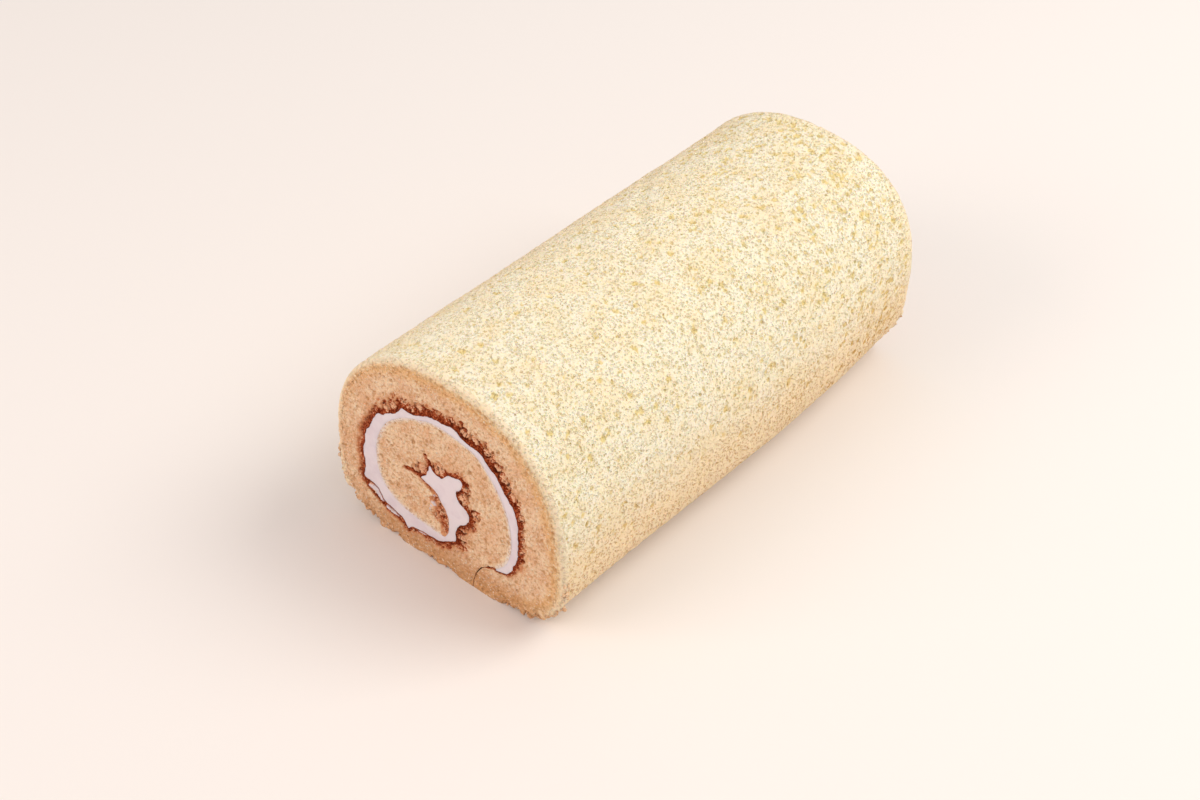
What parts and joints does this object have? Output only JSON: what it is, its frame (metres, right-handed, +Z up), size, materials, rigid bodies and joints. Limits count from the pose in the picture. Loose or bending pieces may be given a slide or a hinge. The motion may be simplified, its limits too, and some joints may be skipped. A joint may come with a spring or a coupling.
{
  "type": "swiss roll cake",
  "caption": "Whole swiss roll cake: a thick pale sponge sheet, browned inside, rolled round whipped cream and cut square at both ends.",
  "frame": {"origin": "centre of the bounding box's underside, on the surface that the roll rests on", "axes": "+Y along the roll, +Z up, +X to the right as the cut face at -Y is looked at"},
  "size_m": [0.0984, 0.18, 0.08],
  "materials": {
    "sponge": "matte, porous crumb",
    "cream": "soft satin"
  },
  "bodies": {
    "root": {"sponge": "sponge", "cream": "cream"}
  },
  "joints": []
}
